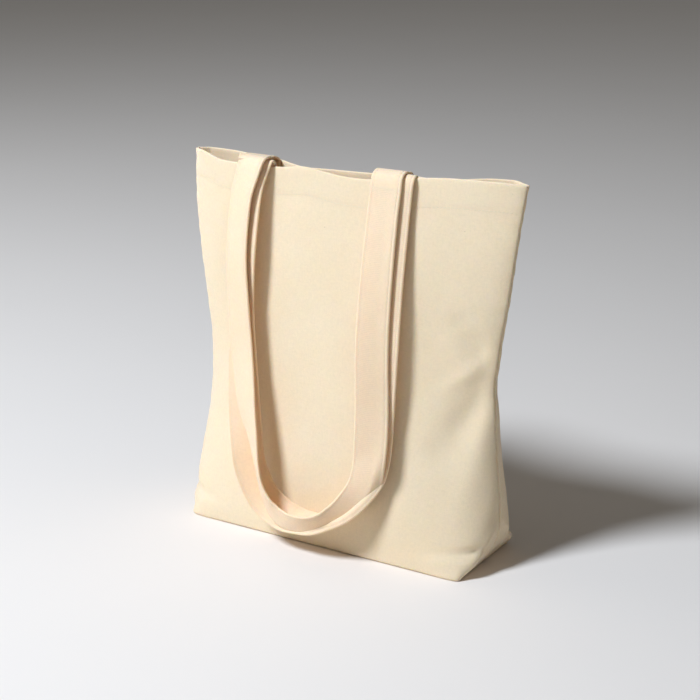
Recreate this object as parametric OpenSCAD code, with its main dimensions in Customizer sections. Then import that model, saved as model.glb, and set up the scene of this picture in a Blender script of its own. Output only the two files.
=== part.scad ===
// Canvas tote bag with a boxed base and two long straps draped over the front.
// Millimetres. +X is the bag's right seen from the front, +Y its back, +Z up.
// The origin is the centre of the underside of the base.

/* [Bag] */
// Width of the base, left to right
base_w = 280; // [240:10:320]
// Depth of the base, front to back
base_d = 100; // [80:5:110]
// Height of the rim above the ground
bag_h = 338; // [320:2:350]
// Width of the bag at the rim
rim_w = 340; // [320:5:360]
// Front-to-back opening of the mouth at rest
mouth_gap = 25; // [22:1:40]
// Thickness of the canvas
canvas_t = 1.2; // [0.8:0.1:1.4]
// Height of the turned-in hem
hem_h = 25; // [15:1:30]

/* [Straps] */
// Width of a strap
strap_w = 30; // [20:1:32]
// Thickness of a strap, folded from several layers
strap_t = 2.4; // [1.6:0.1:2.6]

/* [Seams] */
// Width of the seam allowance inside the bag
allowance_w = 9; // [6:1:12]
// Thickness of the two layers in a seam allowance
allowance_t = 2; // [1.6:0.1:2.4]
// Width of a row of stitches
thread_w = 0.8; // [0.6:0.1:1]
// Height of a row of stitches above the cloth
thread_h = 0.3; // [0.2:0.1:0.5]

/* [Hidden] */

canvas_colour = [0.93, 0.88, 0.76];
strap_colour = [0.93, 0.86, 0.77];
thread_colour = [0.95, 0.91, 0.83];

FRONT = -1;
BACK = 1;
LEFT = -1;
RIGHT = 1;

// Air between two pieces of one body, and between two bodies
layer_gap = 0.15;
seam_gap = 0.3;
// Columns and rows of facets in a panel
columns = 24;
rows = 12;
// Steps of the curve between two points of a strap's route
curve_steps = 3;

// Where the bag stands: the panels start just above the base cloth
panel_z = canvas_t + seam_gap;
hem_z = bag_h - hem_h;

// Half width of the bag at a height: the sides belly out low down and flare at the rim
function half_w(z) = lookup(z / bag_h, [
    [0, base_w / 2], [0.02, base_w / 2 + 5], [0.12, base_w / 2 + 13],
    [0.35, base_w / 2 + 11], [0.53, base_w / 2 + 12], [0.68, base_w / 2 + 15],
    [0.82, base_w / 2 + 20], [1, rim_w / 2]
]);

// Half depth of the bag at a height: full at the base, nearly closed at the rim
function half_d(z) =
    let (rim = mouth_gap / 2, base = base_d / 2)
    rim + (base - rim) * lookup(z / bag_h, [
        [0, 1], [0.12, 0.95], [0.3, 0.70], [0.5, 0.46], [0.7, 0.26], [0.88, 0.08], [1, 0]
    ]);

// How square the outline is: boxy at the base, a soft lens at the rim
function squareness(z) = lookup(z / bag_h, [
    [0, 14], [0.06, 9], [0.18, 5.5], [0.44, 3.8], [0.74, 2.8], [1, 2.3]
]);

// Sideways lean of the soft walls
function lean(z) = lookup(z / bag_h, [[0, 0], [0.35, 2], [1, 5]]);

function bent(v, power) = sign(v) * pow(abs(v), power);

// A point of the bag's outline at a height, moved inwards by inset
function outline(z, angle, inset) =
    let (a = half_w(z) - inset, b = half_d(z) - inset, power = 2 / squareness(z))
    [lean(z) + a * bent(cos(angle), power), b * bent(sin(angle), power), z];

// Depth of the inner face of the wall at a place along the rim
function wall_y(x, z, inset) =
    let (a = half_w(z) - inset, b = half_d(z) - inset, n = squareness(z))
    b * pow(1 - pow(min(abs(x - lean(z)) / a, 1), n), 1 / n);

function quad(a, b, c, d) = [[a, b, c], [a, c, d]];

// A sheet of cloth that follows one side of the outline between two heights and two insets,
// and stops short of each side seam by skip columns
module cloth(side, z0, z1, inset0, inset1, skip = 0, levels = rows) {
    start = side == FRONT ? 180 : 0;
    across = columns - 2 * skip;
    per_row = across + 1;
    per_face = per_row * (levels + 1);
    points = [
        for (inset = [inset0, inset1], r = [0:levels], c = [skip:columns - skip])
            let (
                angle = start + 180 * c / columns,
                p = outline(z0 + (z1 - z0) * r / levels, angle, inset)
            )
            [p.x, side * max(side * p.y, seam_gap), p.z]
    ];
    function o(c, r) = r * per_row + c;
    function i(c, r) = per_face + r * per_row + c;
    faces = [
        for (r = [0:levels - 1], c = [0:across - 1]) each concat(
            quad(o(c, r), o(c, r + 1), o(c + 1, r + 1), o(c + 1, r)),
            quad(i(c, r), i(c + 1, r), i(c + 1, r + 1), i(c, r + 1))
        ),
        for (c = [0:across - 1]) each concat(
            quad(o(c, 0), o(c + 1, 0), i(c + 1, 0), i(c, 0)),
            quad(o(c + 1, levels), o(c, levels), i(c, levels), i(c + 1, levels))
        ),
        for (r = [0:levels - 1]) each concat(
            quad(o(0, r + 1), o(0, r), i(0, r), i(0, r + 1)),
            quad(o(across, r), o(across, r + 1), i(across, r + 1), i(across, r))
        )
    ];
    polyhedron(points, faces, convexity = 6);
}

module panel(side) {
    color(canvas_colour)
        cloth(side, panel_z, bag_h, 0, canvas_t);
}

module hem(side) {
    hem_inset = canvas_t + layer_gap;
    color(canvas_colour)
        cloth(side, hem_z, bag_h - 0.5, hem_inset, hem_inset + 1, 1, 2);
}

module hem_thread(side) {
    row_z = hem_z + 1.5;
    color(thread_colour)
        cloth(side, row_z, row_z + thread_w, -seam_gap - thread_h, -seam_gap, 1, 1);
}

// The base: one flat piece of canvas with rounded corners, just inside the walls
module base() {
    inset = 1.5;
    corner_r = 12;
    color(canvas_colour)
        linear_extrude(canvas_t)
            hull()
                for (x = [LEFT, RIGHT], y = [FRONT, BACK])
                    translate([
                        x * (base_w / 2 - inset - corner_r),
                        y * (base_d / 2 - inset - corner_r)
                    ])
                        circle(corner_r, $fn = 48);
}

// A strip inside a side seam, from the wall inwards, seen from the front
module seam_strip(side, near, far) {
    bottom = panel_z + 6;
    top = hem_z - 4;
    steps = 8;
    heights = [for (k = [0:steps]) bottom + (top - bottom) * k / steps];
    function edge(z, depth) = lean(z) + side * (half_w(z) - canvas_t - depth);
    polygon(concat(
        [for (z = heights) [edge(z, near), z]],
        [for (k = [steps:-1:0]) [edge(heights[k], far), heights[k]]]
    ));
}

module seam_allowance(side) {
    wall_clear = 3.2;
    color(canvas_colour)
        translate([0, seam_gap + 0.2 + allowance_t, 0])
            rotate([90, 0, 0])
                linear_extrude(allowance_t)
                    seam_strip(side, wall_clear, wall_clear + allowance_w);
}

module side_thread(side) {
    row = 5.5;
    color(thread_colour)
        translate([0, seam_gap + 0.2 + allowance_t + layer_gap + thread_h, 0])
            rotate([90, 0, 0])
                linear_extrude(thread_h)
                    seam_strip(side, row, row + thread_w);
}

corner_len = base_d - 18;
corner_x = base_w / 2 - canvas_t - 3;

// A bar across the end of the base, from corner_x inwards
module corner_bar(side, offset, width, length, z, height) {
    low_x = side == RIGHT ? corner_x - offset - width : -corner_x + offset;
    translate([low_x, -length / 2, z])
        cube([width, length, height]);
}

module corner_allowance(side) {
    color(canvas_colour)
        corner_bar(side, 0, allowance_w, corner_len, canvas_t + layer_gap, allowance_t);
}

module corner_thread(side) {
    top = canvas_t + layer_gap + allowance_t + layer_gap;
    color(thread_colour)
        corner_bar(side, 3, thread_w, corner_len - 6, top, thread_h);
}

// Routes of the two loops: x, y, z of the strap's middle, then the direction
// from its inner edge to its outer edge. Both lie against the front of the bag.
front_route = [
    [-82, -17, 338, -1, 0, 0], [-84, -17, 328, -1, 0, 0], [-88, -20, 305, -1, 0, 0],
    [-92, -26, 255, -1, 0, 0], [-92, -33, 200, -1, 0, 0], [-90, -40, 150, -1, -0.1, 0],
    [-86, -47, 110, -1, -0.35, 0], [-78, -56, 80, -0.85, -0.7, -0.1],
    [-62, -64, 50, -0.5, -1, -0.3], [-40, -67, 32, -0.15, -1, -0.35],
    [-15, -68, 25, 0, -1, -0.3], [10, -68, 28, 0.1, -1, -0.15],
    [34, -66, 43, 0.3, -1, 0], [49, -60, 68, 0.6, -0.9, 0], [56, -50, 100, 1, -0.5, 0],
    [58, -41, 145, 1, -0.1, 0], [58, -34, 195, 1, 0, 0], [58, -27, 250, 1, 0, 0],
    [59, -20, 300, 1, 0, 0], [60, -17, 328, 1, 0, 0], [61, -17, 338, 1, 0, 0]
];
back_route = [
    [-89, -21, 340, -1, 0.1, 0], [-90, -21, 330, -1, 0.1, 0], [-96, -26, 305, -1, 0.3, 0],
    [-98, -34, 255, -1, 0.3, 0], [-91, -39, 200, -1, 0.1, 0], [-84, -46, 155, -1, 0, 0],
    [-78, -54, 118, -1, -0.3, 0], [-67, -61, 90, -0.85, -0.7, -0.2],
    [-50, -66, 66, -0.4, -1, -0.4], [-30, -69, 48, -0.1, -1, -0.45],
    [-8, -69, 40, 0, -1, -0.4], [12, -67, 46, 0.2, -1, -0.3],
    [29, -63, 66, 0.5, -0.9, -0.2], [40, -57, 97, 1, -0.4, 0], [46, -46, 145, 1, 0, 0],
    [48, -39, 195, 1, 0, 0], [48, -32, 245, 1, 0, 0], [50, -24, 300, 1, 0, 0],
    [52, -21, 330, 1, 0, 0], [52, -21, 340, 1, 0, 0]
];

// A smooth curve through the route's points
function curve_point(p0, p1, p2, p3, t) =
    0.5 * (2 * p1 + (p2 - p0) * t + (2 * p0 - 5 * p1 + 4 * p2 - p3) * t * t
        + (3 * p1 - p0 - 3 * p2 + p3) * t * t * t);

function curve(route) =
    let (last = len(route) - 1)
    [
        for (k = [0:last - 1], s = [0:curve_steps - 1])
            curve_point(
                route[max(k - 1, 0)], route[k], route[k + 1], route[min(k + 2, last)],
                s / curve_steps
            ),
        route[last]
    ];

function place(p) = [p[0], p[1], p[2]];
function unit(v) = v / norm(v);

// A flat band along a route: its width is cut at each distance in cuts, and it goes from
// rise0 to rise1 through its thickness, where less is further from the bag
module band(route, cuts, rise0, rise1) {
    path = curve(route);
    last = len(path) - 1;
    count = len(cuts);
    ring = concat(
        [for (cut = cuts) [cut, rise0]],
        [for (k = [count - 1:-1:0]) [cuts[k], rise1]]
    );
    function n(k, c) = 2 * count * k + c % (2 * count);
    points = [
        for (k = [0:last])
            let (
                along = unit(place(path[min(k + 1, last)]) - place(path[max(k - 1, 0)])),
                raw = [path[k][3], path[k][4], path[k][5]],
                across = unit(raw - (raw * along) * along),
                rise = cross(along, across)
            )
            for (corner = ring)
                place(path[k]) + corner[0] * across + corner[1] * rise
    ];
    faces = [
        for (c = [0:count - 2])
            let (back = 2 * count - 1 - c)
            each concat(
                quad(n(0, c), n(0, c + 1), n(0, back - 1), n(0, back)),
                quad(n(last, back), n(last, back - 1), n(last, c + 1), n(last, c))
            ),
        for (k = [0:last - 1], c = [0:2 * count - 1])
            each quad(n(k, c + 1), n(k, c), n(k + 1, c), n(k + 1, c + 1))
    ];
    polyhedron(points, faces, convexity = 8);
}

// The two edges of the stitch row that runs along each edge of a strap
row_near = strap_w / 2 - 3 - thread_w / 2;
row_far = row_near + thread_w;

module strap_loop(route) {
    half = strap_w / 2;
    color(strap_colour)
        band(
            route, [-half, -row_far, -row_near, row_near, row_far, half],
            -strap_t / 2, strap_t / 2
        );
}

module strap_thread(route) {
    top = -strap_t / 2 - layer_gap;
    color(thread_colour) {
        band(route, [-row_far, -row_near], top - thread_h, top);
        band(route, [row_near, row_far], top - thread_h, top);
    }
}

// Middle of each sewn-in strap end along the rim
front_left_x = -82;
front_right_x = 61;
back_left_x = -89;
back_right_x = 52;
end_h = 26;

// Depth of the face of a strap end that lies on the hem
function end_y(x) =
    let (far_x = abs(x - lean(bag_h)) + strap_w / 2)
    wall_y(lean(bag_h) + far_x, bag_h, canvas_t + layer_gap + 1 + layer_gap) - 0.3;

// A strap end sewn flat inside the hem, rising above the rim by rise
module strap_end(side, x, rise) {
    y = end_y(x);
    low_y = side == FRONT ? -y : y - strap_t;
    color(strap_colour)
        translate([x - strap_w / 2, low_y, bag_h - end_h])
            cube([strap_w, strap_t, end_h + rise]);
}

// A frame of stitches that holds a strap end to the hem
module tack(side, x) {
    y = end_y(x) - strap_t - layer_gap;
    low_y = side == FRONT ? -y : y - thread_h;
    frame_w = strap_w - 6;
    frame_h = end_h - 6;
    color(thread_colour)
        translate([x - frame_w / 2, low_y, bag_h - end_h + 3])
            difference() {
                cube([frame_w, thread_h, frame_h]);
                translate([thread_w, -1, thread_w])
                    cube([frame_w - 2 * thread_w, thread_h + 2, frame_h - 2 * thread_w]);
            }
}

module front_panel() { panel(FRONT); }
module back_panel() { panel(BACK); }
module base_panel() { base(); }
module front_hem() { hem(FRONT); }
module back_hem() { hem(BACK); }
module left_seam_allowance() { seam_allowance(LEFT); }
module right_seam_allowance() { seam_allowance(RIGHT); }
module left_corner_allowance() { corner_allowance(LEFT); }
module right_corner_allowance() { corner_allowance(RIGHT); }
module front_strap_left_end() { strap_end(FRONT, front_left_x, 0); }
module front_strap_right_end() { strap_end(FRONT, front_right_x, 0); }
module front_strap_loop() { strap_loop(front_route); }
module back_strap_left_end() { strap_end(BACK, back_left_x, 6); }
module back_strap_right_end() { strap_end(BACK, back_right_x, 6); }
module back_strap_loop() { strap_loop(back_route); }
module front_hem_thread() { hem_thread(FRONT); }
module back_hem_thread() { hem_thread(BACK); }
module front_strap_tacks() {
    tack(FRONT, front_left_x);
    tack(FRONT, front_right_x);
}
module back_strap_tacks() {
    tack(BACK, back_left_x);
    tack(BACK, back_right_x);
}
module left_side_thread() { side_thread(LEFT); }
module right_side_thread() { side_thread(RIGHT); }
module left_corner_thread() { corner_thread(LEFT); }
module right_corner_thread() { corner_thread(RIGHT); }
module front_strap_thread() { strap_thread(front_route); }
module back_strap_thread() { strap_thread(back_route); }

front_panel();
back_panel();
base_panel();
front_hem();
back_hem();
left_seam_allowance();
right_seam_allowance();
left_corner_allowance();
right_corner_allowance();
front_strap_left_end();
front_strap_right_end();
front_strap_loop();
back_strap_left_end();
back_strap_right_end();
back_strap_loop();
front_hem_thread();
back_hem_thread();
front_strap_tacks();
back_strap_tacks();
left_side_thread();
right_side_thread();
left_corner_thread();
right_corner_thread();
front_strap_thread();
back_strap_thread();
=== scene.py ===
"""A natural cotton canvas tote bag, standing on its boxed base with both straps draped
over the front. The script's own unit is the millimetre; meshes are made in metres."""

import math

import bpy
import numpy as np
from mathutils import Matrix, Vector


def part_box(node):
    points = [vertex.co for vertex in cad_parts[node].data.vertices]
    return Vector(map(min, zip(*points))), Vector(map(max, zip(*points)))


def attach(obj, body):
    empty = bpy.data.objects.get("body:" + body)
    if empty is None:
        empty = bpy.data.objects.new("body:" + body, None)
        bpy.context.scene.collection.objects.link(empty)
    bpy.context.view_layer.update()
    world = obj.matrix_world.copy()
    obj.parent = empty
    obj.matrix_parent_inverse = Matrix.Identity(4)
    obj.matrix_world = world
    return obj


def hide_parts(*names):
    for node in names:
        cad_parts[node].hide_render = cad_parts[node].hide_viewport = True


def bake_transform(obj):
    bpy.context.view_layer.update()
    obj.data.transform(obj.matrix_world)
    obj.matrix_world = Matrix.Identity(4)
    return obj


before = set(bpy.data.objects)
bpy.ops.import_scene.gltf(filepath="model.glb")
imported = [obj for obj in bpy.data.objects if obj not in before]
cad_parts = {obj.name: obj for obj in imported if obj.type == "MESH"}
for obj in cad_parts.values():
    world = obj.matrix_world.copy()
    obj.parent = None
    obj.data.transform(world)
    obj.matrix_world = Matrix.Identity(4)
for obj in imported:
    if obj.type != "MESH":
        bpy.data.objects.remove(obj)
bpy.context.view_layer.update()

MM = 0.001


# ---------------------------------------------------------------- sizes from the frame

def size_of(node):
    """Low and high corner of a CAD node, in millimetres."""
    low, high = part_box(node)
    return np.array(low) / MM, np.array(high) / MM


FRONT, BACK = -1, 1
SIDE_NAMES = {FRONT: "front", BACK: "back"}

BASE_LOW, BASE_HIGH = size_of("base_panel")
HEM_LOW, HEM_HIGH = size_of("front_hem")
END_LOW, END_HIGH = size_of("front_strap_left_end")

FOLD_PAST_BASE = 1.5
RIM_Z = size_of("front_panel")[1][2]
BASE_HALF_D = BASE_HIGH[1] + FOLD_PAST_BASE
HEM_H = HEM_HIGH[2] - HEM_LOW[2]
STRAP_W = END_HIGH[0] - END_LOW[0]
STRAP_T = END_HIGH[1] - END_LOW[1]
CLOTH_T = 0.9
FOLD_R = 2.5


# ---------------------------------------------------------------- curves and grids

def smooth_curve(points):
    """A smooth function through (x, y) pairs that never overshoots them."""
    x, y = np.array(points, float).T
    slope = np.diff(y) / np.diff(x)
    left, right = slope[:-1], slope[1:]
    same_way = left * right > 0
    inner = np.where(same_way, 2 * left * right / np.where(same_way, left + right, 1), 0)
    tangent = np.concatenate([slope[:1], inner, slope[-1:]])

    def at(v):
        v = np.clip(v, x[0], x[-1])
        i = np.clip(np.searchsorted(x, v, side="right") - 1, 0, len(x) - 2)
        h = x[i + 1] - x[i]
        t = (v - x[i]) / h
        t2, t3 = t * t, t * t * t
        return (
            (2 * t3 - 3 * t2 + 1) * y[i] + (t3 - 2 * t2 + t) * h * tangent[i]
            + (3 * t2 - 2 * t3) * y[i + 1] + (t3 - t2) * h * tangent[i + 1]
        )

    return at


def smoothstep(t):
    """0 up to t = 0, 1 from t = 1 on, and a smooth rise between."""
    t = np.clip(t, 0, 1)
    return t * t * (3 - 2 * t)


def unit(v):
    return v / np.maximum(np.linalg.norm(v, axis=-1, keepdims=True), 1e-12)


def grid_normals(grid):
    """Unit normals of a (rows, columns, 3) grid, pointing to across x up."""
    up = np.gradient(grid, axis=0)
    across = np.gradient(grid, axis=1)
    return unit(np.cross(across, up))


def length_along(points):
    """How far each point of a polyline is from its start."""
    steps = np.linalg.norm(np.diff(points, axis=0), axis=1)
    return np.concatenate([[0], np.cumsum(steps)])


def resample(points, count, ease):
    """count + 1 points along a polyline, evenly spaced at ease 0, bunched at the ends at 1."""
    along = length_along(points)
    t = np.linspace(0, 1, count + 1)
    t = (1 - ease) * t + ease * (0.5 - 0.5 * np.cos(np.pi * t))
    want = t * along[-1]
    return np.stack([np.interp(want, along, points[:, k]) for k in range(3)], axis=1)


# ---------------------------------------------------------------- mesh making

def new_object(name, vertices, faces, material, uv=None, sharp=None):
    """A mesh object from millimetre vertices. uv is one pair per vertex, and edges between
    the vertices in sharp stay crisp."""
    mesh = bpy.data.meshes.new(name)
    mesh.from_pydata((np.asarray(vertices) * MM).tolist(), [], faces)
    mesh.validate()
    mesh.update()
    if uv is not None:
        layer = mesh.uv_layers.new(name="cloth")
        index = np.empty(len(mesh.loops), int)
        mesh.loops.foreach_get("vertex_index", index)
        layer.data.foreach_set("uv", np.asarray(uv, np.float32)[index].ravel())
    mesh.polygons.foreach_set("use_smooth", [True] * len(mesh.polygons))
    if sharp is not None:
        ends = np.zeros(len(mesh.vertices), bool)
        ends[sharp] = True
        pairs = np.empty(len(mesh.edges) * 2, int)
        mesh.edges.foreach_get("vertices", pairs)
        mesh.edges.foreach_set("use_edge_sharp", ends[pairs].reshape(-1, 2).all(axis=1))
    mesh.materials.append(material)
    obj = bpy.data.objects.new(name, mesh)
    bpy.context.scene.collection.objects.link(obj)
    return obj


def sheet_faces(rows, columns):
    """Faces of a closed sheet: an outer grid, then an inner one, joined round the rim."""
    per_side = rows * columns

    def o(r, c):
        return r * columns + c

    def i(r, c):
        return per_side + r * columns + c

    faces = []
    for r in range(rows - 1):
        for c in range(columns - 1):
            faces.append((o(r, c), o(r, c + 1), o(r + 1, c + 1), o(r + 1, c)))
            faces.append((i(r, c), i(r + 1, c), i(r + 1, c + 1), i(r, c + 1)))
    for c in range(columns - 1):
        faces.append((o(0, c + 1), o(0, c), i(0, c), i(0, c + 1)))
        faces.append((o(rows - 1, c), o(rows - 1, c + 1), i(rows - 1, c + 1), i(rows - 1, c)))
    for r in range(rows - 1):
        faces.append((o(r, 0), o(r + 1, 0), i(r + 1, 0), i(r, 0)))
        faces.append((o(r + 1, columns - 1), o(r, columns - 1),
                      i(r, columns - 1), i(r + 1, columns - 1)))
    return faces


def end_rows(rows, columns):
    """The vertices of a closed sheet's first and last row, on both faces."""
    row = np.arange(columns)
    last, inner = (rows - 1) * columns, rows * columns
    return np.concatenate([row, last + row, inner + row, inner + last + row])


def cloth_uv(grid):
    """Metres of cloth across and up, as UV for the weave."""
    across = np.linalg.norm(np.diff(grid, axis=1), axis=2)
    up = np.linalg.norm(np.diff(grid, axis=0), axis=2)
    u = np.concatenate([np.zeros((grid.shape[0], 1)), np.cumsum(across, axis=1)], axis=1)
    v = np.concatenate([np.zeros((1, grid.shape[1])), np.cumsum(up, axis=0)], axis=0)
    u -= u[:, grid.shape[1] // 2, None]
    return np.stack([u, v], axis=-1).reshape(-1, 2) * MM


def make_shell(name, outer, inner, woven, material, crisp_ends=False):
    """A closed sheet between an outer and an inner grid, with the weave laid out on a third."""
    rows, columns = outer.shape[:2]
    uv = cloth_uv(woven)
    return new_object(
        name, np.concatenate([outer.reshape(-1, 3), inner.reshape(-1, 3)]),
        sheet_faces(rows, columns), material, np.concatenate([uv, uv]),
        end_rows(rows, columns) if crisp_ends else None,
    )


def make_sheet(name, outer, thickness, material):
    """A sheet of cloth of even thickness whose outer face is a grid."""
    return make_shell(name, outer, outer - grid_normals(outer) * thickness, outer, material)


# ---------------------------------------------------------------- materials

class Nodes:
    """A short way to write a node tree."""

    def __init__(self, name):
        self.material = bpy.data.materials.new(name)
        self.material.use_nodes = True
        self.tree = self.material.node_tree
        self.shader = self.tree.nodes["Principled BSDF"]

    def add(self, kind, **inputs):
        """A node with its inputs by name. A name with a _ before it is a setting of the node."""
        settings = {k[1:]: inputs.pop(k) for k in list(inputs) if k.startswith("_")}
        node = self.tree.nodes.new(kind)
        for key, value in settings.items():
            setattr(node, key, value)
        for key, value in inputs.items():
            self.join(value, node.inputs[key])
        return node

    def join(self, value, socket):
        if isinstance(value, bpy.types.NodeSocket):
            self.tree.links.new(value, socket)
        else:
            socket.default_value = value

    def math(self, operation, a, b=0.0, c=0.0):
        node = self.tree.nodes.new("ShaderNodeMath")
        node.operation = operation
        for k, value in enumerate((a, b, c)):
            self.join(value, node.inputs[k])
        return node.outputs[0]

    def noise(self, place, scale, detail):
        node = self.add("ShaderNodeTexNoise", Vector=place, Scale=scale, Detail=detail)
        return node.outputs["Fac"]

    def mix(self, factor, a, b):
        node = self.tree.nodes.new("ShaderNodeMix")
        node.data_type = "RGBA"
        self.join(factor, node.inputs[0])
        self.join(a, node.inputs[6])
        self.join(b, node.inputs[7])
        return node.outputs[2]

    def ramp(self, factor, low, high):
        node = self.tree.nodes.new("ShaderNodeMapRange")
        self.join(factor, node.inputs["Value"])
        node.inputs["From Min"].default_value = low
        node.inputs["From Max"].default_value = high
        return node.outputs["Result"]

    def finish(self, settings):
        """The finished material, with plain values for the shader's other inputs."""
        for key, value in settings.items():
            self.shader.inputs[key].default_value = value
        return self.material


THREAD_PITCH = 0.00095
SEED_BROWN = (0.30, 0.20, 0.11, 1)


def plain_weave(n, uv):
    """Height of a plain weave: warp and weft go over each other by turns."""
    split = n.add("ShaderNodeSeparateXYZ", Vector=uv)
    shift = n.math("MULTIPLY", n.math("SUBTRACT", n.noise(uv, 220.0, 2.0), 0.5), 0.5)
    turn = math.pi / THREAD_PITCH
    warp_phase = n.math("MULTIPLY_ADD", split.outputs["X"], turn, shift)
    weft_phase = n.math("MULTIPLY_ADD", split.outputs["Y"], turn, shift)
    warp = n.math("ABSOLUTE", n.math("SINE", warp_phase))
    weft = n.math("ABSOLUTE", n.math("SINE", weft_phase))
    over = n.math("MULTIPLY", n.math("COSINE", warp_phase), n.math("COSINE", weft_phase))
    chequer = n.ramp(over, -0.25, 0.25)
    return n.add("ShaderNodeMix", Factor=chequer, A=warp, B=weft).outputs[0]


def thread_slubs(n, uv):
    """Thick and thin places along single threads, about 1 on average."""
    both_ways = []
    for scale in ((90.0, 1400.0, 1.0), (1400.0, 90.0, 1.0)):
        stretched = n.add("ShaderNodeMapping", Vector=uv, Scale=scale).outputs[0]
        both_ways.append(n.noise(stretched, 1.0, 1.0))
    return n.math("ADD", *both_ways)


def seed_flecks(n, place, fine, share):
    """Strength of the seed flecks: a small spot in a share of the cells of a pattern."""
    cells = n.add("ShaderNodeTexVoronoi", Vector=place, Scale=75.0)
    number = n.add("ShaderNodeSeparateColor", Color=cells.outputs["Color"]).outputs[0]
    chosen = n.math("LESS_THAN", number, share)
    radius = n.math("MULTIPLY_ADD", fine, 0.05, 0.002)
    near = n.math("LESS_THAN", cells.outputs["Distance"], radius)
    return n.math("MULTIPLY", n.math("MULTIPLY", chosen, near), 0.5)


def canvas_material(name, colour, warm, fleck_share):
    """Natural cotton canvas: plain weave, slubs, soft blotches and sparse seed flecks."""
    n = Nodes(name)
    uv = n.add("ShaderNodeUVMap", _uv_map="cloth").outputs[0]
    place = n.add("ShaderNodeTexCoord").outputs["Object"]
    weave, slubs = plain_weave(n, uv), thread_slubs(n, uv)
    blotch, fine = n.noise(place, 14.0, 3.0), n.noise(place, 420.0, 3.0)

    tint = n.mix(n.ramp(blotch, 0.3, 0.7), (*colour, 1), (*warm, 1))
    grain = n.math("MULTIPLY_ADD", n.math("SUBTRACT", slubs, 1.0), 0.06,
                   n.math("MULTIPLY_ADD", n.math("SUBTRACT", fine, 0.5), 0.12, 1.0))
    grain = n.math("MULTIPLY", grain, n.math("MULTIPLY_ADD", weave, 0.16, 0.90))
    shaded = n.add("ShaderNodeVectorMath", _operation="SCALE", Vector=tint, Scale=grain)
    flecks = seed_flecks(n, place, fine, fleck_share)
    n.join(n.mix(flecks, shaded.outputs[0], SEED_BROWN), n.shader.inputs["Base Color"])

    height = n.math("ADD", n.math("MULTIPLY", weave, 0.6), n.math("MULTIPLY", slubs, 0.5))
    threads = n.add("ShaderNodeBump", Height=height, Strength=0.5, Distance=0.0004)
    waves = n.add("ShaderNodeBump", Height=n.noise(place, 26.0, 2.0), Strength=0.25,
                  Distance=0.003, Normal=threads.outputs[0])
    n.join(waves.outputs[0], n.shader.inputs["Normal"])
    return n.finish({
        "Roughness": 0.92,
        "Specular IOR Level": 0.25,
        "Sheen Weight": 0.08,
        "Sheen Roughness": 0.5,
        "Sheen Tint": (1.0, 0.93, 0.82, 1),
        "Subsurface Weight": 0.35,
        "Subsurface Radius": (1.0, 0.55, 0.25),
        "Subsurface Scale": 0.003,
    })


def thread_material():
    """Twisted cotton thread, a touch lighter than the canvas."""
    n = Nodes("cotton_thread")
    place = n.add("ShaderNodeTexCoord").outputs["Object"]
    twist = n.add("ShaderNodeTexWave", Vector=place, Scale=900.0, Distortion=2.0)
    tint = n.mix(twist.outputs["Fac"], (0.86, 0.69, 0.48, 1), (0.94, 0.77, 0.56, 1))
    n.join(tint, n.shader.inputs["Base Color"])
    bump = n.add("ShaderNodeBump", Height=twist.outputs["Fac"], Strength=0.4,
                 Distance=0.0001)
    n.join(bump.outputs[0], n.shader.inputs["Normal"])
    return n.finish({"Roughness": 0.7})


def floor_material():
    """Pale matt paint with a faint cloudiness."""
    n = Nodes("floor_paint")
    place = n.add("ShaderNodeTexCoord").outputs["Object"]
    tint = n.mix(n.noise(place, 3.0, 2.0), (0.85, 0.812, 0.755, 1), (0.87, 0.832, 0.775, 1))
    n.join(tint, n.shader.inputs["Base Color"])
    return n.finish({"Roughness": 0.85})


CANVAS = canvas_material("natural_canvas", (0.945, 0.735, 0.52), (0.93, 0.71, 0.485), 0.16)
STRAP_CLOTH = canvas_material("strap_canvas", (0.93, 0.725, 0.505), (0.92, 0.70, 0.475), 0.10)
THREAD = thread_material()


# ---------------------------------------------------------------- the bag's shape

# Half width to the left and right of the middle, by height
half_left = smooth_curve([(0, 140), (8, 142.5), (20, 149), (40, 154.5), (60, 154), (100, 149.5),
                          (135, 147), (160, 147), (200, 151.5), (250, 157.5), (300, 161),
                          (RIM_Z, 160)])
half_right = smooth_curve([(0, 140), (8, 146), (20, 152), (40, 156), (60, 155.5), (85, 153),
                           (116, 150.5), (140, 149.5), (162, 148), (180, 150), (200, 152.5),
                           (240, 159), (275, 163.5), (300, 167), (RIM_Z, 173)])
# Half depth to the front and back of the middle
half_front = smooth_curve([(0, BASE_HALF_D), (40, 48), (100, 39), (170, 30), (240, 22),
                           (300, 15.5), (RIM_Z, 12.5)])
half_back = smooth_curve([(0, BASE_HALF_D), (40, 47), (100, 38), (170, 29), (240, 21),
                          (300, 15), (RIM_Z, 12)])
# How square the outline is: a sharp box at the base, a soft lens at the rim
squareness = {
    FRONT: smooth_curve([(0, 30), (8, 11), (20, 4.8), (40, 3.0), (70, 2.2), (110, 1.8),
                         (160, 1.6), (200, 1.6), (250, 1.75), (RIM_Z, 2.0)]),
    BACK: smooth_curve([(0, 30), (8, 12), (20, 5.5), (40, 3.6), (70, 3.0), (110, 2.7),
                        (160, 2.5), (250, 2.3), (RIM_Z, 2.3)]),
}
# Height of the rim above and below its mean, along the front and the back
rim_front_z = smooth_curve([(-165, 0), (-152, -0.8), (-144, -2.5), (-126, -7), (-107, -7.5),
                            (-62, -6.5), (-35, -3.5), (-12, -6), (10, -8), (25, -8),
                            (42, -6), (83, -1), (110, 1), (150, 1.5), (175, 0)])
rim_back_z = smooth_curve([(-165, 0), (-125, -2), (-90, -4), (-60, -5.5), (-10, -5.5),
                           (26, -5), (70, -3.5), (111, -1), (140, 1), (158, 1.5), (175, 0)])
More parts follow.
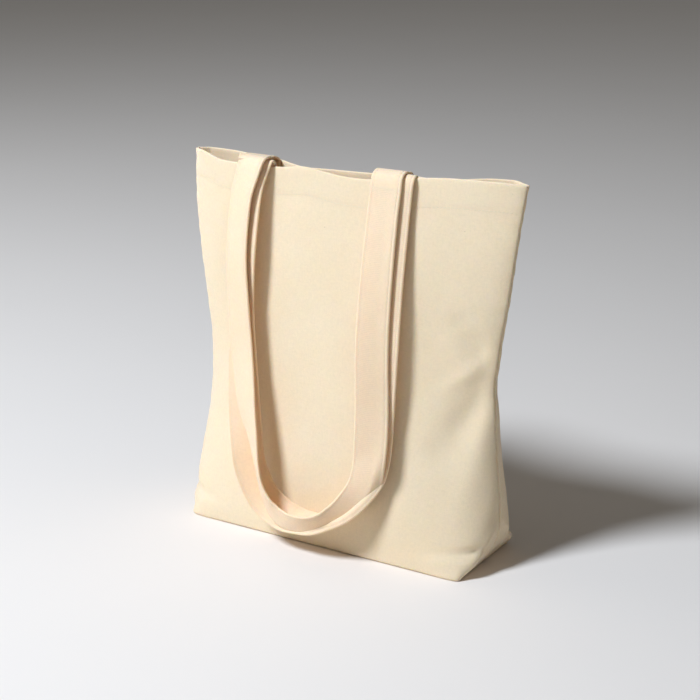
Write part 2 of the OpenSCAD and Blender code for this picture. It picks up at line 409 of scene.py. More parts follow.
# Depth of the back rim: the mouth gapes at the left and closes here and there
rim_back_y = smooth_curve([(-164, 0.5), (-150, 10), (-125, 14), (-104, 13), (-74, 11),
                           (-56, 3), (-38, -4), (-10, 0), (22, 1.5), (37, 3), (67, 3),
                           (84, -2), (95, -4), (111, 0), (135, 8), (155, 9), (168, 3),
                           (175, 0.5)])

SIDE_COLUMNS, FACE_COLUMNS, WALL_ROWS = 26, 110, 116
OUTLINE_SAMPLES = 400
OUTLINE_EASE = 0.6
FOLD_STEPS, RIM_STEPS = 6, 6
# The side seams: how far the cloth rolls in, the gap between the walls at the stitches and
# how much further apart they are next to them
SEAM_R, SEAM_GAP, SEAM_STEP = 1.8, 0.03, 0.25
# How far from a side seam a wall keeps to its own side, and how far the seam holds its slack
SEAM_HOLD = 16
# The rim's radius, and the shares of the height from which up the walls follow the depth of
# the back rim and the rise and fall of both rims. The first fades next to the side seams.
RIM_R = 1.05
BACK_PULLED_FROM, RIM_FELT_FROM = 0.5, 0.3
BACK_PULL_FADE = 9


def outline(z, side, inset=0.0):
    """One half of the bag's outline at a height, from seam to seam, as three runs:
    side wall, face, side wall."""
    power = 2 / squareness[side](z)
    runs = []
    for low, high, count in ((180, 225, SIDE_COLUMNS), (225, 315, FACE_COLUMNS),
                             (315, 360, SIDE_COLUMNS)):
        angle = np.radians(np.linspace(low, high, OUTLINE_SAMPLES))
        cos, sin = np.cos(angle), np.abs(np.sin(angle))
        a = np.where(cos < 0, half_left(z), half_right(z)) - inset
        b = (half_front(z) if side == FRONT else half_back(z)) - inset
        x = a * np.sign(cos) * np.abs(cos) ** power
        y = side * b * sin ** power
        run = resample(np.stack([x, y, np.full_like(x, z)], axis=1), count, OUTLINE_EASE)
        runs.append(run if not runs else run[1:])
    return np.concatenate(runs)


def roll_in(ring, side):
    """The seams: the last of the cloth at each side rolls into the bag, less near the floor."""
    ring = ring.copy()
    deep = SEAM_R * smoothstep(ring[0, 2] / 14)
    rolled = np.zeros(len(ring))
    for order, inward in ((slice(None), 1), (slice(None, None, -1), -1)):
        part = ring[order]
        near = np.clip(1 - length_along(part) / SEAM_R, 0, 1)
        part[:, 0] += inward * deep * (1 - np.sqrt(1 - near ** 2))
        rolled[order] = np.maximum(rolled[order], near)
    ring[:, 1] += side * (SEAM_GAP + SEAM_STEP * (1 - rolled))
    return ring


def bulge_at(x, z, place_x, place_z, wide, tall):
    """A soft round bulge: 1 at its place, 0 away from it."""
    return np.exp(-((x - place_x) / wide) ** 2 - ((z - place_z) / tall) ** 2)


def fold_line(x, z, start, end, wide):
    """A long soft fold: highest halfway from start to end, 0 away from the line."""
    along = np.array(end, float) - start
    share = ((x - start[0]) * along[0] + (z - start[1]) * along[1]) / (along @ along)
    share = np.clip(share, 0, 1)
    away = np.hypot(x - start[0] - share * along[0], z - start[1] - share * along[1])
    swell = 0.25 + 0.75 * np.sin(math.pi * np.clip(share, 0.08, 0.92))
    return np.exp(-(away / wide) ** 2) * swell


# Each wall's bulges, as height, x, z, width and tallness, and its folds, as height, two
# ends (x, z) and width. A height below 0 is a hollow.
BULGES = {
    FRONT: [(1.2, 85, 60, 30, 50), (-1.2, 100, 215, 26, 60), (-1.5, -20, 150, 50, 70),
            (1.2, -130, 250, 20, 60)],
    BACK: [(2.0, -50, 110, 60, 60), (-1.8, 60, 190, 50, 60)],
}
FOLDS = {
    FRONT: [(-4.2, (150, 170), (112, 105), 14), (-3.2, (150, 174), (122, 215), 12),
            (2.4, (150, 150), (132, 55), 12), (1.6, (152, 192), (110, 160), 7)],
    BACK: [(-2.4, (150, 168), (100, 120), 14)],
}


def slack(x, z, side):
    """How far the slack cloth stands out of or sinks into the smooth wall."""
    ripple = 0.35 * np.sin(x / 31 + z / 47 + side) + 0.25 * np.sin(x / 17 - z / 39 + 2 * side)
    ripple += 0.15 * np.sin(x / 11 + z / 23)
    for height, *place in BULGES[side]:
        ripple += height * bulge_at(x, z, *place)
    for height, *place in FOLDS[side]:
        ripple += height * fold_line(x, z, *place)
    return ripple * smoothstep(z / 40) * smoothstep((RIM_Z + 12 - z) / 60)


# The creases at the bottom corners, as height, two ends (depth, z) and width, and one on
# the face next to the right corners, as height, two ends (x, z) and width
CORNER_CREASES = [(2.4, (46, 2), (4, 42), 3.2), (-2.6, (47, 21), (20, 25), 2.2),
                  (1.4, (44, 12), (24, 15), 5)]
FACE_CREASE = (0.8, (112, 12), (132, 15), 3)
CORNER_FROM_X, CORNER_RAMP = 105, 20


def corner_folds(grid, side):
    """Creases where the round wall turns into the boxed base at each bottom corner."""
    x, depth, z = grid[..., 0], side * grid[..., 1], grid[..., 2]
    near = smoothstep((np.abs(x) - CORNER_FROM_X) / CORNER_RAMP)
    folds = np.zeros(x.shape)
    for height, *place in CORNER_CREASES:
        folds += near * height * fold_line(depth, z, *place)
    height, *place = FACE_CREASE
    return folds + height * fold_line(x, z, *place)


def hem_relief(grid):
    """The doubled cloth above the hem's stitching, and the line the stitching pulls in."""
    drop = grid[-1][None, :, 2] - grid[..., 2]
    doubled = 0.35 * smoothstep((HEM_H + 1 - drop) / 2)
    return doubled - 0.4 * np.exp(-((drop - HEM_H + 1) / 1.1) ** 2)


def pucker(grid):
    """Small gathers where a seam pulls the cloth, next to each side edge of a wall."""
    gather = np.zeros(grid.shape[:2])
    wave = 0.22 * np.sin(grid[..., 2] / 2.3) + 0.16 * np.sin(grid[..., 2] / 4.1)
    for seam in (grid[:, :1], grid[:, -1:]):
        away = np.linalg.norm(grid - seam, axis=2)
        gather += wave * np.exp(-away / 7) * smoothstep(away / 2)
    return gather


def seam_distance(grid):
    """How far each place on a wall is from its nearest side edge."""
    return np.minimum(np.linalg.norm(grid - grid[:, :1], axis=2),
                      np.linalg.norm(grid - grid[:, -1:], axis=2))


def keep_side(grid, side):
    """Cloth never goes through the floor, and next to its seams it keeps to its own side."""
    grid[..., 2] = np.maximum(grid[..., 2], 0)
    near = seam_distance(grid) < SEAM_HOLD
    kept = side * np.maximum(side * grid[..., 1], SEAM_GAP)
    grid[..., 1] = np.where(near, kept, grid[..., 1])
    return grid


def wall_grid(side):
    """The outer face of a wall: round the fold at the base and up to below the rim."""
    rings = []
    for turn in np.radians(np.linspace(90, 0, FOLD_STEPS + 1)[:-1]):
        ring = outline(FOLD_R, side, FOLD_R * (1 - math.cos(turn)))
        ring[:, 2] = FOLD_R * (1 - math.sin(turn))
        rings.append(roll_in(ring, side))
    for z in np.linspace(FOLD_R, RIM_Z - RIM_R, WALL_ROWS):
        rings.append(roll_in(outline(z, side), side))
    grid = np.array(rings)
    rise = grid[..., 2] / RIM_Z
    if side == BACK:
        pull = rim_back_y(grid[-1, :, 0]) - grid[-1, :, 1]
        share = smoothstep((rise - BACK_PULLED_FROM) / (1 - BACK_PULLED_FROM))
        grid[..., 1] += pull * share * smoothstep(seam_distance(grid) / BACK_PULL_FADE)
        grid = grid[:, ::-1]
    normal = grid_normals(grid)
    from_seam = seam_distance(grid)
    loose = slack(grid[..., 0], grid[..., 2], side) * smoothstep(from_seam / SEAM_HOLD)
    shaped = corner_folds(grid, side) * smoothstep(from_seam / 5)
    shaped += hem_relief(grid) * smoothstep(from_seam / 6)
    grid += normal * (loose + shaped + pucker(grid))[..., None]
    rise = grid[..., 2] / RIM_Z
    rim = rim_front_z if side == FRONT else rim_back_z
    grid[..., 2] += rim(grid[..., 0]) * smoothstep((rise - RIM_FELT_FROM) / (1 - RIM_FELT_FROM))
    return keep_side(grid, side)


def hemmed(grid, side):
    """A wall with its hem: over the rim and down inside."""
    outward = unit(grid_normals(grid) * (1, 1, 0))
    rows = [grid]
    for turn in np.linspace(0, math.pi, RIM_STEPS + 1)[1:]:
        over = (0, 0, RIM_R * math.sin(turn)) - outward[-1] * RIM_R * (1 - math.cos(turn))
        rows.append((grid[-1] + over)[None])
    middle = grid[:, grid.shape[1] // 2, 2]
    down = int(np.searchsorted((middle[-1] - middle)[::-1], HEM_H))
    rows.append((grid - outward * 2 * RIM_R)[-2:-down - 2:-1])
    return keep_side(np.concatenate(rows), side)


WALLS = {side: wall_grid(side) for side in (FRONT, BACK)}


def join_wall(obj, side):
    """The back is attached to the bag. The front is attached to nothing; its placement is baked
    into its mesh."""
    if side == FRONT:
        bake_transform(obj)
    else:
        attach(obj, "bag")


def make_wall(side):
    """The front or the back of the bag with its hem and its half of both sides."""
    name = SIDE_NAMES[side]
    grid = hemmed(WALLS[side], side)
    inner = keep_side(grid - grid_normals(grid) * CLOTH_T, side)
    wall = make_shell(name + "_canvas", grid, inner, grid, CANVAS)
    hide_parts(name + "_panel", name + "_hem")
    join_wall(wall, side)


BASE_ROWS, BASE_COLUMNS = 25, 61
# How far short of the bag's outline the base ends, how much higher its middle is and how
# high the faint waves in it are
BASE_INSET = FOLD_R - 0.3
BASE_CROWN, BASE_WAVE = 0.35, 0.12
# The base's ends turn up inside the side walls, where they are sewn in: how far out and how
# high each row of the turned-up lip is
LIP_H = 7.0
LIP = [(0.3, 1.0), (0.45, 3.0), (0.5, 5.0), (0.5, LIP_H)]
# Keeps the shape of the base's middle point defined
TINY = 1e-9


def bunched(low, high, count):
    """Places between low and high, closer together towards both ends."""
    s = np.linspace(low, high, count)
    return np.sign(s) * np.abs(s) ** 0.8


def make_base():
    """The bottom of the bag, between the folds of the two walls."""
    across, depth = np.meshgrid(bunched(-1, 1, BASE_COLUMNS), bunched(1, -1, BASE_ROWS))
    far = np.maximum(np.maximum(np.abs(across), np.abs(depth)), TINY)
    power = squareness[BACK](0)
    sideways = np.maximum(np.abs(across) / far, TINY)
    endways = np.maximum(np.abs(depth) / far, TINY)
    reach = (sideways ** power + endways ** power) ** (-1 / power)
    x = (half_left(0) - BASE_INSET) * across * reach
    y = (BASE_HALF_D - BASE_INSET) * depth * reach
    z = BASE_CROWN * (1 - across ** 2) * (1 - depth ** 2) + BASE_WAVE * np.sin(x / 19) * (1 - far)
    flat = np.stack([x, y, np.maximum(z, 0)], axis=-1)
    left = [flat[:, 0] + (-out, 0, up) for out, up in LIP]
    right = [flat[:, -1] + (out, 0, up) for out, up in LIP]
    grid = np.concatenate([np.stack(left[::-1], axis=1), flat, np.stack(right, axis=1)], axis=1)
    base = make_sheet("base_canvas", grid, CLOTH_T, CANVAS)
    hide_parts("base_panel")
    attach(base, "bag")


# ---------------------------------------------------------------- stitches

STITCH_LENGTH, STITCH_GAP, STITCH_WIDTH, STITCH_HEIGHT = 2.7, 0.7, 0.62, 0.34
STITCH_SIDES = 6
# A stitch's share of its length, thickness and height above the cloth, from hole to hole
STITCH_PROFILE = [(0.0, 0.25, -0.35), (0.18, 0.85, 0.35), (0.5, 1.0, 0.6), (0.82, 0.85, 0.35),
                  (1.0, 0.25, -0.35)]


def stitch_row(path, normals):
    """Vertices and faces of the stitches along a path of points with normals."""
    along = length_along(path)
    starts = np.arange(STITCH_GAP, along[-1] - STITCH_LENGTH, STITCH_LENGTH + STITCH_GAP)

    def at(distance, values):
        return np.stack([np.interp(distance, along, values[:, k]) for k in range(3)], axis=-1)

    turn = np.linspace(0, 2 * math.pi, STITCH_SIDES, endpoint=False)
    vertices, faces = [], []
    for start in starts:
        first = len(vertices) * STITCH_SIDES
        way = unit(at(start + STITCH_LENGTH, path) - at(start, path))
        for share, thick, lift in STITCH_PROFILE:
            place = at(start + share * STITCH_LENGTH, path)
            normal = unit(at(start + share * STITCH_LENGTH, normals))
            across = unit(np.cross(way, normal))
            vertices.append(
                place + normal * lift * STITCH_HEIGHT / 2
                + np.outer(np.cos(turn), across) * STITCH_WIDTH / 2 * thick
                + np.outer(np.sin(turn), normal) * STITCH_HEIGHT / 2 * thick
            )
        last = first + (len(STITCH_PROFILE) - 1) * STITCH_SIDES
        for a in range(first, last, STITCH_SIDES):
            b = a + STITCH_SIDES
            for k in range(STITCH_SIDES):
                after = (k + 1) % STITCH_SIDES
                faces.append((a + k, a + after, b + after, b + k))
        faces.append(tuple(range(first, first + STITCH_SIDES))[::-1])
        faces.append(tuple(range(last, last + STITCH_SIDES)))
    return np.concatenate(vertices), faces


def make_stitches(name, rows):
    """One object from several stitch rows, each a (path, normals) pair."""
    vertices, faces, count = [], [], 0
    for row in rows:
        v, f = stitch_row(*row)
        vertices.append(v)
        faces += [tuple(count + k for k in face) for face in f]
        count += len(v)
    stitches = new_object(name, np.concatenate(vertices), faces, THREAD)
    return stitches


ROW_FROM_HEM_EDGE = 2.5
# Columns next to the side seams that the rows leave free, outside and inside the bag
FREE_OUTSIDE, FREE_INSIDE = 3, 6


def hem_row(side, inside=False):
    """The row of stitches that holds the hem, just above the hem's lower edge."""
    grid = WALLS[side]
    middle = grid[:, grid.shape[1] // 2, 2]
    row = int(np.argmin(np.abs(middle[-1] - middle - (HEM_H - ROW_FROM_HEM_EDGE))))
    free = FREE_INSIDE if inside else FREE_OUTSIDE
    path, normal = grid[row, free:-free], grid_normals(grid)[row, free:-free]
    return (path - normal * (2 * RIM_R), -normal) if inside else (path, normal)


def make_hem_threads():
    for side, name in SIDE_NAMES.items():
        stitches = make_stitches(name + "_hem_stitches", [hem_row(side), hem_row(side, True)])
        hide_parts(name + "_hem_thread")
        join_wall(stitches, side)


# ---------------------------------------------------------------- seams inside the bag

ALLOWANCE_W, ALLOWANCE_T = 9.0, 2.0
ALLOWANCE_COLUMNS = 7
STITCHED = ALLOWANCE_COLUMNS // 2
SIDE_ROWS, CORNER_ROWS = 70, 50
# Where the seam allowances start, in from the sides, and how high and long they are
SIDE_START, CORNER_START = 2.4, 4.4
SIDE_LOW, SIDE_HIGH = 9, RIM_Z - HEM_H - 3
CORNER_HALF_D = 41


def facing(grid, axis):
    """The grid with its outer face turned to look along an axis."""
    middle = grid_normals(grid)[len(grid) // 2, STITCHED]
    return grid if middle[axis] > 0 else grid[:, ::-1]


def make_side_allowance(hand, name):
    """The seam allowance, pressed towards the back, and its stitches."""
    half = half_left if hand < 0 else half_right
    z = np.linspace(SIDE_LOW, SIDE_HIGH, SIDE_ROWS)
    depth = np.linspace(SIDE_START, SIDE_START + ALLOWANCE_W, ALLOWANCE_COLUMNS)
    height, inward = np.meshgrid(z, depth, indexing="ij")
    x = hand * (half(height) - inward)
    wave = 0.5 * np.sin(height / 13) + 0.35 * np.sin(height / 5) * (inward / ALLOWANCE_W)
    grid = facing(np.stack([x, 1.5 + 0.10 * inward + wave, height], axis=-1), 1)
    outer = grid + (0, ALLOWANCE_T / 2, 0)
    strip = make_sheet(name + "_seam", outer, ALLOWANCE_T, CANVAS)
    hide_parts(name + "_seam_allowance")
    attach(strip, "bag")
    row, normal = outer[:, STITCHED], grid_normals(grid)[:, STITCHED]
    stitches = make_stitches(name + "_seam_stitches",
                             [(row, normal), (row - normal * ALLOWANCE_T, -normal)])
    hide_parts(name + "_side_thread")
    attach(stitches, "bag")


def make_corner_allowance(hand, name):
    """The seam allowance across the end of the base, and its stitches."""
    y = np.linspace(-CORNER_HALF_D, CORNER_HALF_D, CORNER_ROWS)
    inward = np.linspace(CORNER_START, CORNER_START + ALLOWANCE_W, ALLOWANCE_COLUMNS)
    depth, away = np.meshgrid(y, inward, indexing="ij")
    x = hand * (half_left(0) - away)
    z = 3.6 + 0.25 * np.sin(depth / 6) + 0.08 * (away - CORNER_START)
    grid = facing(np.stack([x, depth, z], axis=-1), 2)
    strip = make_sheet(name + "_corner_seam", grid, ALLOWANCE_T, CANVAS)
    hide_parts(name + "_corner_allowance")
    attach(strip, "bag")
    row = (grid[:, STITCHED], grid_normals(grid)[:, STITCHED])
    stitches = make_stitches(name + "_corner_stitches", [row])
    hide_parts(name + "_corner_thread")
    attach(stitches, "bag")


# ---------------------------------------------------------------- straps

# Each stop of a strap, from inside the left hem to inside the right one: x, y, z of its
# middle, then the direction from its inner to its outer edge. Where it has a lengthwise
# crease there follow the crease's place from the middle and how far the part inside it and
# the part outside it fold back, in degrees.
NO_CREASE = (12, 0, 0)
FRONT_STRAP = [
    (-82, -7.7, 312, -1, 0, 0), (-82, -7.7, 326, -1, 0, 0), (-82, -8.6, 333, -1, 0, 0),
    (-82, -12, 335.6, -1, 0, 0), (-82.5, -15.5, 333, -1, 0, 0), (-84, -17.3, 326, -1, 0.12, 0),
    (-87, -21.5, 305, -0.97, 0.22, 0), (-88.5, -28.5, 255, -0.95, 0.3, 0),
    (-90.5, -31, 200, -0.97, 0.2, 0), (-88, -35.5, 150, -1, -0.1, 0),
    (-82.5, -42.5, 114, -0.88, -0.42, -0.2), (-77.5, -48, 95, -0.75, -0.6, -0.25),
    (-72.5, -53, 79, -0.62, -0.72, -0.28), (-67, -57, 65, -0.56, -0.74, -0.36),
    (-55, -60, 46, -0.58, -0.68, -0.44), (-43, -61, 35, -0.53, -0.66, -0.53, 11, 0, 0),
    (-24, -62, 27.5, -0.42, -0.76, -0.48, 10, 0, 0), (-7, -63, 27, -0.25, -0.9, -0.36, 9, 0, 15),
    (9, -65, 30, 0, -0.97, -0.2, 9, 0, 40), (24, -64, 36.5, 0.15, -0.98, 0, 9, 0, 60),
    (38, -62, 46, 0.43, -0.9, 0.11, 9, 0, 65), (49, -57, 60, 0.74, -0.6, 0.3, 9, 0, 65),
    (55.5, -50, 75, 0.91, -0.33, 0.23, 10, 0, 50), (57, -45, 92, 0.98, -0.1, 0.15, 11, 0, 25),
    (57.5, -42, 112, 1, 0, 0.1), (58, -39.5, 145, 1, 0, 0), (58, -34, 195, 1, 0, 0),
    (58, -27, 250, 1, 0, 0), (59, -20, 300, 1, 0, 0), (60.5, -17.5, 326, 1, 0, 0),
    (61, -15.8, 334, 1, 0, 0), (61, -12.5, 337.2, 1, 0, 0), (61, -9.5, 335, 1, 0, 0),
    (61, -8.7, 327, 1, 0, 0), (61, -8.7, 312, 1, 0, 0),
]
BACK_STRAP = [
    (-89, 8.4, 312, -1, 0, 0), (-89, 8.4, 326, -1, 0, 0), (-89, 7.2, 333, -1, 0, 0),
    (-89, 1, 336.6, -1, 0, 0), (-88, -7.5, 337.6, -1, 0, 0), (-86.5, -13, 338.4, -1, 0.1, 0),
    (-86, -18.7, 336, -1, 0.2, 0), (-88, -22, 326, -1, 0.28, 0),
    (-93, -26.2, 302, -0.93, 0.34, 0), (-94.5, -32.3, 255, -0.93, 0.34, 0),
    (-91, -36, 211, -0.95, 0.3, -0.15), (-84, -41, 162, -0.92, 0.28, -0.28),
    (-73.5, -51.5, 123, -0.9, 0.43, -0.05, 11, 0, 0),
    (-65, -57.5, 100, -0.8, 0.56, -0.2, 9, 0, 15), (-57, -62.5, 74, -0.65, 0.7, -0.28, 8, 0, 30),
    (-50, -66.5, 55, -0.6, 0.7, -0.37, 7, 0, 45), (-41, -69.5, 39, -0.6, 0.5, -0.62, 5, 0, 65),
    (-34, -71.5, 31.5, -0.63, 0.32, -0.7, 4, 0, 80), (-26, -73, 27, -0.63, 0.25, -0.74, 4, 0, 90),
    (-13, -75, 25.5, -0.64, 0.25, -0.7, 4, 0, 90), (3, -76, 28, -0.5, 0.3, -0.78, 4, 0, 90),
    (19, -74, 33, -0.15, 0.4, -0.8, 4, 0, 90), (33, -70, 42, 0.25, 0.4, -0.7, 4, 0, 85),
    (45, -66, 54, 0.55, 0.3, -0.4, 5, 0, 75), (54, -61, 70, 0.85, 0.2, 0, 6, 0, 55),
    (57, -57, 90, 0.97, 0.08, 0.05, 8, 0, 25), (57, -53, 112, 0.96, 0.26, 0.05),
    (55, -48, 141, 0.96, 0.26, 0), (51, -41.5, 194, 0.98, 0.2, 0), (50, -34, 245, 1, 0.1, 0),
    (50.5, -25, 300, 1, 0, 0), (52, -21.5, 326, 1, 0, 0), (52, -19, 336, 1, 0, 0),
    (52, -13, 339.6, 1, 0, 0), (52, -8, 338.8, 1, 0, 0), (52, -3.5, 337.5, 1, 0, 0),
    (52, -0.8, 333, 1, 0, 0), (52, -0.4, 326, 1, 0, 0), (52, -0.4, 312, 1, 0, 0),
]
STRAP_STEPS = 8
STRAP_COLUMNS = 41
CREASE_W = 5
# The sewn-in ends: how deep behind the wall's outer face they lie, how many stops long they
# are, over how many more stops the strap leaves the wall, and the height of the wall's ring
# that guides the cloth above it too
END_DEPTH = 3.9
END_STOPS, LEAVE_STOPS = 2, 2
UPRIGHT_Z = 322
# Rounded edges, the rows of stitches sunk into the cloth, and the cloth puffed beside them
EDGE_R = 1.2
ROW_FROM_EDGE, ROW_SUNK, ROW_WIDE = 3.0, 0.22, 0.7
PUFF_HIGH, PUFF_FROM_ROW, PUFF_WIDE = 0.12, 1.5, 1.2


def through(table):
    """A smooth path through the stops, the same number of steps between each two."""
    stops = np.array([stop if len(stop) > 6 else stop + NO_CREASE for stop in table], float)
    padded = np.vstack([2 * stops[0] - stops[1], stops, 2 * stops[-1] - stops[-2]])
    path = []
    for k in range(len(stops) - 1):
        a, b, c, d = padded[k:k + 4]
        for t in np.linspace(0, 1, STRAP_STEPS, endpoint=False):
            path.append(0.5 * (2 * b + (c - a) * t + (2 * a - 5 * b + 4 * c - d) * t ** 2
                               + (3 * b - a - 3 * c + d) * t ** 3))
    path.append(stops[-1])
    return np.array(path)


def follow_wall(rows, wall):
    """Lay the sewn-in end of a strap, given from its end on, along the inside of its wall."""
    cloth = WALLS[wall]
    height = cloth[:, cloth.shape[1] // 2, 2]
    for k, row in enumerate(rows):
        stop = k / STRAP_STEPS
        if stop <= END_STOPS:
            ring = cloth[np.argmin(np.abs(height - min(row[0, 2], UPRIGHT_Z)))]
            order = np.argsort(ring[:, 0])
            face = np.interp(row[:, 0], ring[order, 0], ring[order, 1])
            shift = face - wall * END_DEPTH - row[:, 1]
        row[:, 1] += shift * (1 - smoothstep((stop - END_STOPS) / LEAVE_STOPS))


def strap_surface(table, wall):
    """Middle surface of a strap, as a grid along it and across it, its normals, and how far
    each column is from the strap's middle line."""
    path = through(table)
    middle, raw = path[:, :3], path[:, 3:6]
    crease, fold_in, fold_out = path[:, 6:7], path[:, 7:8], path[:, 8:9]
    along = unit(np.gradient(middle, axis=0))
    across = unit(raw - (raw * along).sum(1, keepdims=True) * along)
    towards_bag = np.cross(along, across)
    s = np.linspace(-1, 1, STRAP_COLUMNS)
    s = STRAP_W / 2 * np.sign(s) * np.abs(s) ** 0.85
    angle = np.radians(-fold_in + (fold_in + fold_out) * smoothstep((s - crease) / CREASE_W + 0.5))

    def summed(values):
        """Values added up across the strap, from 0 at its middle line."""
        step = (values[:, 1:] + values[:, :-1]) / 2 * np.diff(s)
        total = np.concatenate([np.zeros((len(values), 1)), np.cumsum(step, axis=1)], axis=1)
        return total - total[:, STRAP_COLUMNS // 2, None]

    side, deep = summed(np.cos(angle)), summed(np.sin(angle))
    grid = (middle[:, None] + side[..., None] * across[:, None]
            + deep[..., None] * towards_bag[:, None])
    for rows in (grid, grid[::-1]):
        follow_wall(rows[:(END_STOPS + LEAVE_STOPS) * STRAP_STEPS], wall)
    up, over = np.gradient(grid, axis=0), np.gradient(grid, axis=1)
    return grid, unit(np.cross(over, up)), s


def strap_part(name, surface, first, last):
    """A closed length of strap between two stops, and its rows of stitches."""
    grid, normal, s = surface
    rows = slice(first * STRAP_STEPS, last * STRAP_STEPS + 1)
    grid, normal = grid[rows], normal[rows]
    edge = np.clip((np.abs(s) - (STRAP_W / 2 - EDGE_R)) / EDGE_R, 0, 1)
    row_at = STRAP_W / 2 - ROW_FROM_EDGE
    from_row = np.abs(s) - row_at
    half = STRAP_T / 2 * np.sqrt(1 - 0.96 * edge ** 2)
    half = half - ROW_SUNK * np.exp(-(from_row / ROW_WIDE) ** 2)
    puffs = PUFF_HIGH * np.sin(np.arange(len(grid)) * 1.3)[:, None]
    half = half + puffs * np.exp(-((from_row - PUFF_FROM_ROW) / PUFF_WIDE) ** 2)
    outer, inner = grid + normal * half[..., None], grid - normal * half[..., None]
    strap = make_shell(name, outer, inner, grid, STRAP_CLOTH, crisp_ends=True)
    threads = []
    for place in (-row_at, row_at):
        column = int(np.argmin(np.abs(s - place)))
        threads.append((outer[:, column], normal[:, column]))
        threads.append((inner[:, column], -normal[:, column]))
    return strap, make_stitches(name + "_stitches", threads)


def both_sides(table, first, second):
    """A length of strap near its left end and the same length near its right end, each as
    its side and the two stops that it lies between."""
    last = len(table) - 1
    return ("left", first, second), ("right", last - second, last - first)


def make_strap(name, table, surface, crest):
    """The hanging loop of a strap and its bends over the front rim. crest is the stops that
    the left bend lies between."""
    body = name + "_strap"
    first, last = crest[1], len(table) - 1 - crest[1]
    strap, stitches = strap_part(body, surface, first, last)
    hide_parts(name + "_strap_loop")
    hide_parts(name + "_strap_thread")
    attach(strap, body)
    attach(stitches, body)
    for side, first, second in both_sides(table, *crest):
        for obj in strap_part(f"{name}_strap_{side}_bend", surface, first, second):
            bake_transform(obj)


def make_holds(name, table, surface, body):
    """The ends of a strap that are sewn in under the hem."""
    for side, first, second in both_sides(table, 0, END_STOPS):
        end, stitches = strap_part(f"{name}_strap_{side}_hold", surface, first, second)
        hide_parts(f"{name}_strap_{side}_end")
        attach(end, body)
        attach(stitches, body)


# The stops between which each strap bends over the front rim at its left, and the depths
# between which it bends
FRONT_CREST, FRONT_STRAP_BEND = (2, 5), (-11, -16)
BACK_CREST, BACK_STRAP_BEND = (4, 7), (-12, -17)


def make_straps():
    front_surface = strap_surface(FRONT_STRAP, FRONT)
    back_surface = strap_surface(BACK_STRAP, BACK)
    make_strap("front", FRONT_STRAP, front_surface, FRONT_CREST)
    make_strap("back", BACK_STRAP, back_surface, BACK_CREST)
    make_holds("front", FRONT_STRAP, front_surface, "front")
    make_holds("back", BACK_STRAP, back_surface, "bag")
    for side, first, second in both_sides(BACK_STRAP, END_STOPS, BACK_CREST[0]):
        for obj in strap_part(f"back_strap_{side}_bridge", back_surface, first, second):
            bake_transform(obj)


# ---------------------------------------------------------------- box stitches

TACK_LOW, TACK_HIGH = 315.0, 326.0
TACK_FROM_EDGE = 3.5
TACK_POINTS = 12


def wall_depth(side):
    """A function for the outer face's y at places on a wall, clear of its seams."""
    grid = WALLS[side].reshape(-1, 3)
    far = 1000.0
    by_seam = np.abs(grid[:, 1]) < 0.2

    def at(x, z):
        nearest = [np.argmin((grid[:, 0] - a) ** 2 + (grid[:, 2] - b) ** 2 + far * by_seam)
                   for a, b in zip(x, z)]
        return grid[nearest, 1]

    return at


def tack_rows(x, depth_at, shift, face):
    """The box and cross of stitches that hold a strap end, shifted from a wall's outer face.
    face is -1 or 1, the way that the stitches look."""
    half = STRAP_W / 2 - TACK_FROM_EDGE
    a, b = (x - half, TACK_LOW), (x + half, TACK_LOW)
    c, d = (x + half, TACK_HIGH), (x - half, TACK_HIGH)
    normals = np.tile([0.0, face, 0.0], (TACK_POINTS, 1))
    rows = []
    for start, end in ((a, b), (b, c), (c, d), (d, a), (a, c), (b, d)):
        across, up = np.linspace(start, end, TACK_POINTS).T
        rows.append((np.stack([across, depth_at(across, up) + shift, up], axis=1), normals))
    return rows


def make_tacks():
    for side, table, body in ((FRONT, FRONT_STRAP, "front"), (BACK, BACK_STRAP, "bag")):
        name, depth_at = SIDE_NAMES[side], wall_depth(side)
        inside = -side * (END_DEPTH + STRAP_T / 2)
        rows = []
        for stop in (table[0], table[-1]):
            rows += tack_rows(stop[0], depth_at, inside, -side)
            rows += tack_rows(stop[0], depth_at, 0, side)
        tacks = make_stitches(name + "_tacks", rows)
        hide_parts(name + "_strap_tacks")
        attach(tacks, body)


make_wall(FRONT)
make_wall(BACK)
make_base()
make_hem_threads()
for hand, hand_name in ((-1, "left"), (1, "right")):
    make_side_allowance(hand, hand_name)
    make_corner_allowance(hand, hand_name)
make_straps()
make_tacks()


# ---------------------------------------------------------------- camera and light

# The camera stands to the right of the front and looks slightly down. Distances are in
# metres from here on.
CAMERA_AZIMUTH = math.radians(31.7)
CAMERA_DROP = math.radians(17.53)
CAMERA_DISTANCE = 1.429
AIM_RIGHT, AIM_UP = 0.0031, 0.1711
LENS, SENSOR = 82.7, 36
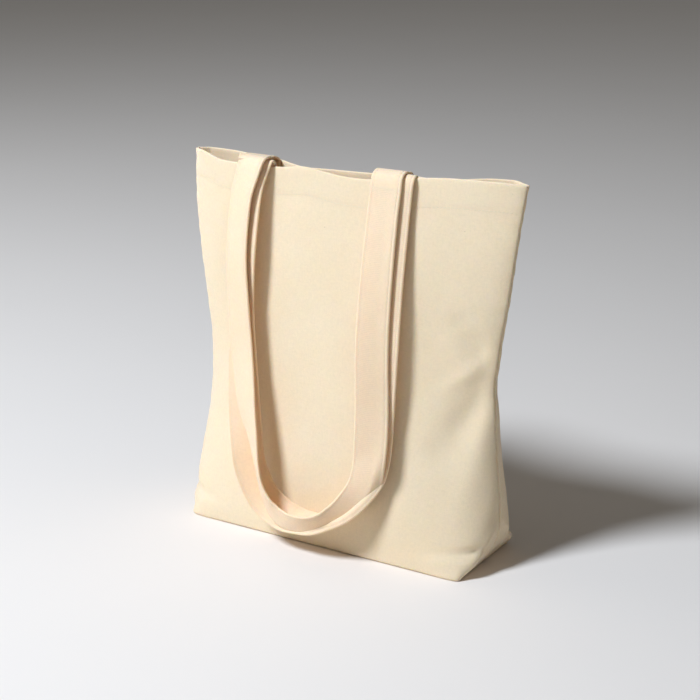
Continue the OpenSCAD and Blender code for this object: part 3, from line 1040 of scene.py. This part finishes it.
# The floor's half side, and how far it lies below the bag
FLOOR_HALF, FLOOR_DROP = 30.0, 0.0003
WORLD_COLOUR, WORLD_STRENGTH = (0.92, 0.88, 0.83, 1), 0.145


def make_camera():
    right = Vector((math.cos(CAMERA_AZIMUTH), math.sin(CAMERA_AZIMUTH), 0))
    look = Vector((
        -math.sin(CAMERA_AZIMUTH) * math.cos(CAMERA_DROP),
        math.cos(CAMERA_AZIMUTH) * math.cos(CAMERA_DROP),
        -math.sin(CAMERA_DROP),
    ))
    aim = right * AIM_RIGHT + Vector((0, 0, AIM_UP))
    data = bpy.data.cameras.new("camera")
    data.lens = LENS
    data.sensor_width = SENSOR
    camera = bpy.data.objects.new("camera", data)
    camera.location = aim - look * CAMERA_DISTANCE
    camera.rotation_euler = look.to_track_quat("-Z", "Y").to_euler()
    bpy.context.scene.collection.objects.link(camera)
    bpy.context.scene.camera = camera


def area_light(name, place, aim, size, power, colour):
    """A round soft light."""
    data = bpy.data.lights.new(name, "AREA")
    data.shape = "DISK"
    data.size = size
    data.energy = power
    data.color = colour
    lamp = bpy.data.objects.new(name, data)
    lamp.location = place
    lamp.rotation_euler = (Vector(aim) - Vector(place)).to_track_quat("-Z", "Y").to_euler()
    bpy.context.scene.collection.objects.link(lamp)


def make_studio():
    """A pale floor, a soft key light from the front left, a faint fill and a dim world."""
    corners = [(x * FLOOR_HALF, y * FLOOR_HALF, -FLOOR_DROP)
               for x, y in ((-1, -1), (1, -1), (1, 1), (-1, 1))]
    floor = new_object("floor", np.array(corners) / MM, [(0, 1, 2, 3)], floor_material())
    area_light("key", place=(-0.95, -1.7, 2.4), aim=(0, 0, 0.12), size=0.8, power=107,
               colour=(0.82, 0.885, 1.0))
    area_light("fill", place=(-2.6, -0.6, 1.2), aim=(0, 0, 0.15), size=1.6, power=4,
               colour=(1.0, 0.98, 1.0))
    world = bpy.data.worlds.new("studio")
    bpy.context.scene.world = world
    world.use_nodes = True
    background = world.node_tree.nodes["Background"]
    background.inputs["Color"].default_value = WORLD_COLOUR
    background.inputs["Strength"].default_value = WORLD_STRENGTH


make_camera()
make_studio()
bpy.context.scene.view_settings.view_transform = "Standard"
